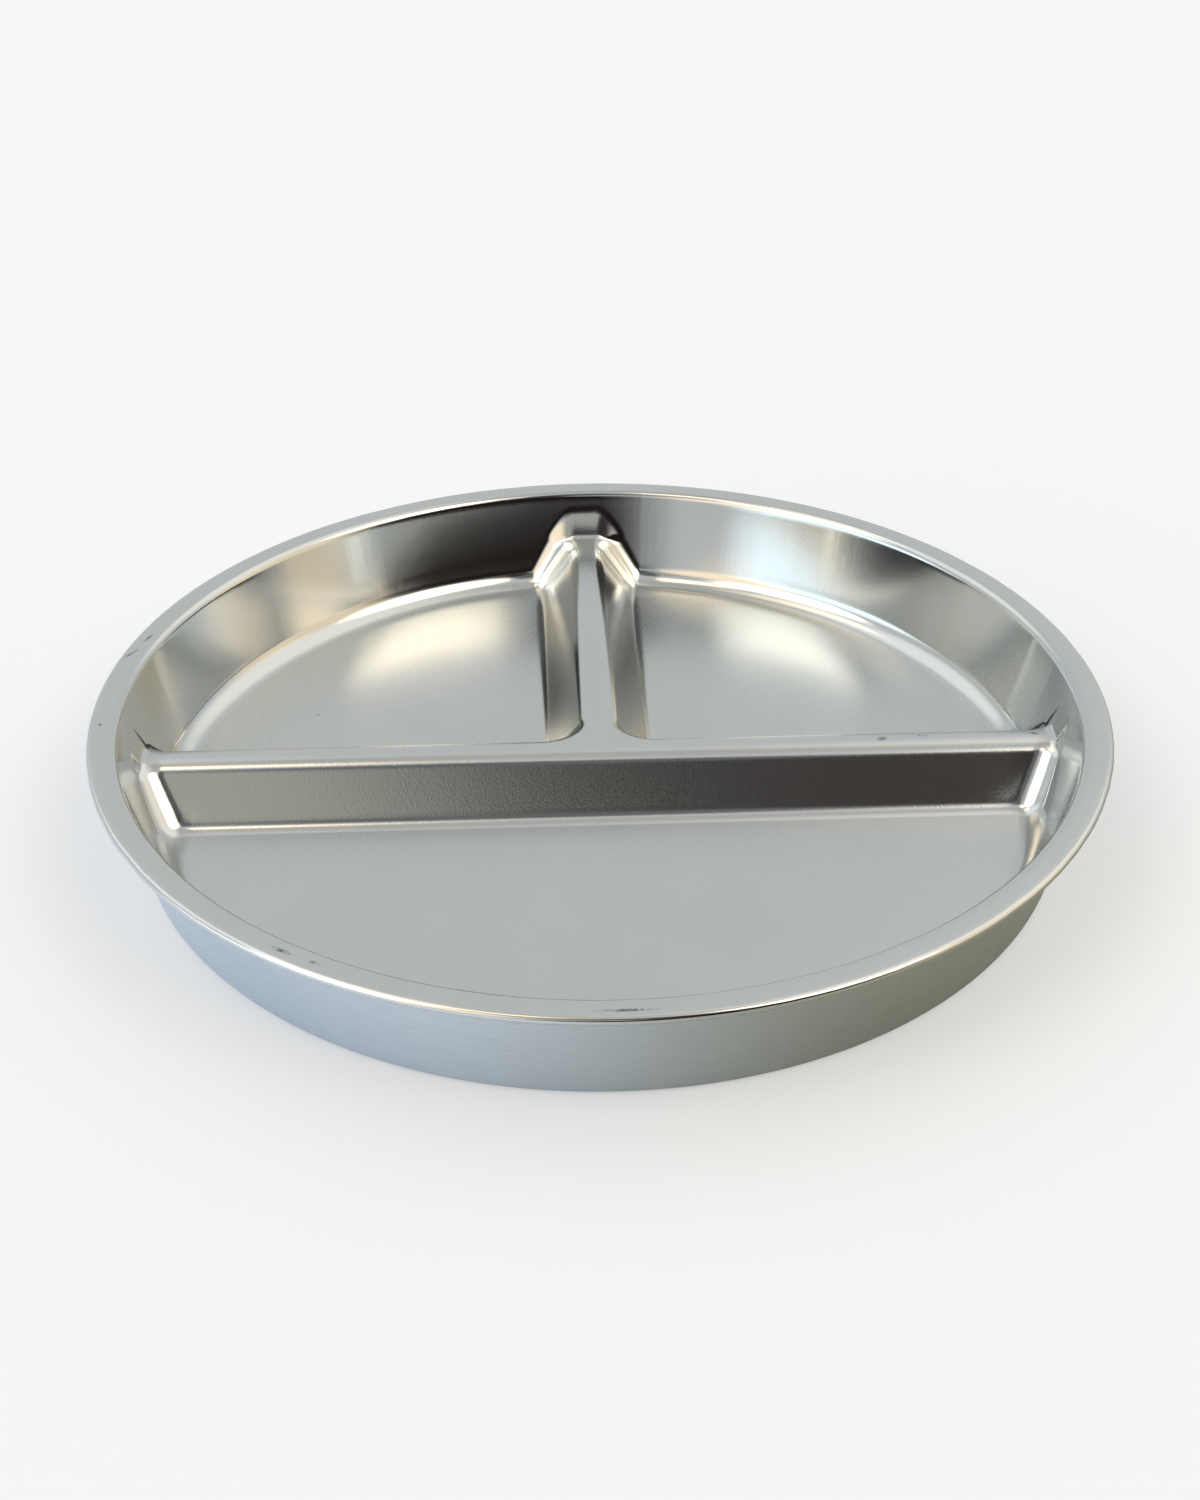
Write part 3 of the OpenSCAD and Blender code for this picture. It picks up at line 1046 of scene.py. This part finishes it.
@dataclass
class Studio:
    """The camera, the pale table and the soft light of the room."""

    # The camera's place in millimetres, the rows of its turn, and its lens and sensor, as fitted to the
    # photograph's rim, base and ridge
    camera_place: Triple = (-12.7206, -355.3790, 235.5251)
    camera_axes: tuple[Triple, ...] = (
        (0.999229, 0.024989, -0.030293),
        (-0.038963, 0.534598, -0.844208),
        (-0.004902, 0.844737, 0.535159),
    )
    lens: float = 45.18
    sensor: float = 36.0
    # The table's side and how far it is moved back, in metres
    table_side: float = 6.0
    table_back: float = 1.0
    # What the camera sees: the table's paint, the glow that lifts it towards white, and the backdrop
    table: str = "#ABAFB6"
    table_lift: float = 0.38
    backdrop: str = "#F5F6F5"
    # What the steel mirrors of the table: painted light on the left, where the window lights it, painted
    # shade on the right, where the plate shades it, and half the change's width
    mirrored_painted_light: str = "#DCEAFF"
    mirrored_painted_shade: str = "#9EA39B"
    mirror_change_mm: float = 60.0
    # What the steel mirrors of the room
    room: Triple = (0.76, 0.78, 0.79)
    glows: tuple[Glow, ...] = (
        # The dim ceiling over the plate, and a warm wall on the right
        Glow(90.0, 84.0, 8.0, 26.0, (0.66, 0.65, 0.62), covers=True),
        Glow(-10.0, 8.0, 16.0, 38.0, (1.25, 1.04, 0.76), covers=True),
        # The dark side where the camera stands, between greyer patches of the wall behind it
        Glow(-106.0, 42.0, 6.0, 16.0, (0.55, 0.55, 0.48), covers=True),
        Glow(-67.0, 4.0, 25.0, 47.0, (0.016, 0.011, 0.010), flatten=1.3, covers=True),
        Glow(-77.0, 40.0, 9.0, 17.0, (0.050, 0.042, 0.042), covers=True),
        Glow(-91.0, 54.0, 6.0, 14.0, (0.18, 0.19, 0.19), covers=True),
        Glow(-90.0, 31.0, 4.0, 8.0, (0.58, 0.58, 0.54), covers=True),
        # A warm corner to the left of the camera
        Glow(-128.0, 27.0, 10.0, 22.0, (1.7, 1.4, 1.06), covers=True),
        # A window low on the left, and the bright wall over it
        Glow(-157.0, 6.0, 20.0, 34.0, (0.85, 1.05, 1.15), flatten=1.6),
        Glow(-157.0, 47.0, 9.0, 20.0, (3.0, 2.85, 2.45)),
        # A warm lamp on the right, the wall beside it, and the wall at the back on the left
        Glow(-34.0, 48.0, 8.0, 23.0, (3.3, 2.8, 2.1)),
        Glow(30.0, 48.0, 12.0, 36.0, (0.55, 0.5, 0.4)),
        Glow(142.0, 45.0, 10.0, 28.0, (0.5, 0.5, 0.5)),
        # Two small warm lights in the ceiling on the left
        Glow(-136.0, 71.0, 3.0, 11.0, (2.0, 1.5, 0.95)),
        Glow(157.0, 65.0, 4.0, 14.0, (1.0, 0.76, 0.46)),
    )

    def place_camera(self) -> None:
        """Put the camera where the photograph was taken from."""
        data = bpy.data.cameras.new("camera")
        data.lens = self.lens
        data.sensor_width = self.sensor
        data.clip_start = 0.01
        made = bpy.data.objects.new("camera", data)
        bpy.context.scene.collection.objects.link(made)
        axes = Matrix(self.camera_axes).to_4x4()
        made.matrix_world = Matrix.Translation(Vector(self.camera_place) * MM) @ axes
        bpy.context.scene.camera = made

    def table_paint(self) -> bpy.types.Material:
        """Mix the table's colour: plain where the camera sees it, and where the steel mirrors it, a painted
        light on the left that runs into a painted shade on the right.

        Returns:
            The material, a matt white laminate, which shows no gloss.
        """
        paint = bpy.data.materials.new("matt white laminate")
        paint.use_nodes = True
        tree = paint.node_tree
        tree.nodes.clear()
        place = add_node(tree, "ShaderNodeTexCoord").outputs["Object"]
        parts = add_node(tree, "ShaderNodeSeparateXYZ", {0: place})
        # Painted light on the left and painted shade on the right, which only the steel's reflections see
        change = self.mirror_change_mm * MM
        feeds = {"Value": parts.outputs["X"], "From Min": -change, "From Max": change}
        across = add_node(tree, "ShaderNodeMapRange", feeds, interpolation_type="SMOOTHSTEP")
        sides = {"Factor": across.outputs["Result"]}
        sides |= {"A": srgb(self.mirrored_painted_light), "B": srgb(self.mirrored_painted_shade)}
        mirrored_light_and_shade = add_node(tree, "ShaderNodeMix", sides, data_type="RGBA").outputs["Result"]
        seen = add_node(tree, "ShaderNodeLightPath").outputs["Is Camera Ray"]
        views = {"Factor": seen, "A": mirrored_light_and_shade, "B": srgb(self.table)}
        colour = add_node(tree, "ShaderNodeMix", views, data_type="RGBA").outputs["Result"]
        lift = add_node(tree, "ShaderNodeMath", {0: seen, 1: self.table_lift}, operation="MULTIPLY")
        matt = {"Base Color": colour, "Roughness": 0.75, "Specular IOR Level": 0.2}
        matt |= {"Emission Color": (1.0, 1.0, 1.0, 1.0), "Emission Strength": lift.outputs[0]}
        skin = add_node(tree, "ShaderNodeBsdfPrincipled", matt)
        add_node(tree, "ShaderNodeOutputMaterial", {"Surface": skin.outputs["BSDF"]})
        return paint

    def lay_table(self) -> None:
        """Lay the pale table under the plate."""
        bpy.ops.object.select_all(action="DESELECT")
        bpy.ops.mesh.primitive_plane_add(size=self.table_side, location=(0.0, self.table_back, 0.0))
        top = bpy.context.active_object
        top.name = "table_top"
        bpy.ops.object.transform_apply(location=True, rotation=False, scale=False)
        top.data.materials.append(self.table_paint())

    def light_room(self) -> None:
        """Paint the room round the plate as soft patches, and show the camera a plain backdrop instead."""
        world = bpy.data.worlds.new("soft room")
        bpy.context.scene.world = world
        world.use_nodes = True
        tree = world.node_tree
        tree.nodes.clear()
        look = add_node(tree, "ShaderNodeTexCoord").outputs["Generated"]
        colour = add_node(tree, "ShaderNodeRGB").outputs[0]
        colour.default_value = (*self.room, 1.0)
        for glow in self.glows:
            colour = glow.paint(tree, look, colour)
        seen = add_node(tree, "ShaderNodeLightPath").outputs["Is Camera Ray"]
        views = {"Factor": seen, "A": colour, "B": srgb(self.backdrop)}
        shown = add_node(tree, "ShaderNodeMix", views, data_type="RGBA").outputs["Result"]
        sky = add_node(tree, "ShaderNodeBackground", {"Color": shown})
        add_node(tree, "ShaderNodeOutputWorld", {"Surface": sky.outputs["Background"]})

    def build(self) -> None:
        """Set up the camera, table and light."""
        view = bpy.context.scene.view_settings
        view.view_transform = "Standard"
        self.place_camera()
        self.lay_table()
        self.light_room()


def finish_piece(piece: Piece, node: str) -> None:
    """Hand a finished piece to the frame in place of its solid.

    Args:
        piece: The finished piece.
        node: The solid that it stands for.
    """
    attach(piece, "root")
    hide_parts(node)
    log.info("%s: %d faces", piece.name, len(piece.data.polygons))


def main() -> None:
    """Build the studio and the plate's two sheets."""
    logging.basicConfig(level=logging.INFO, format="%(name)s %(message)s")
    Studio().build()
    for sheet, node, slot in (
        (DividedTray(), "divided_tray", "tray_steel"),
        (OuterShell(), "outer_shell", "shell_steel"),
    ):
        bpy.ops.object.select_all(action="DESELECT")
        piece = sheet.build()
        sheet.dress(piece)
        finish_piece(piece, node)


if __name__ == "__main__":
    main()
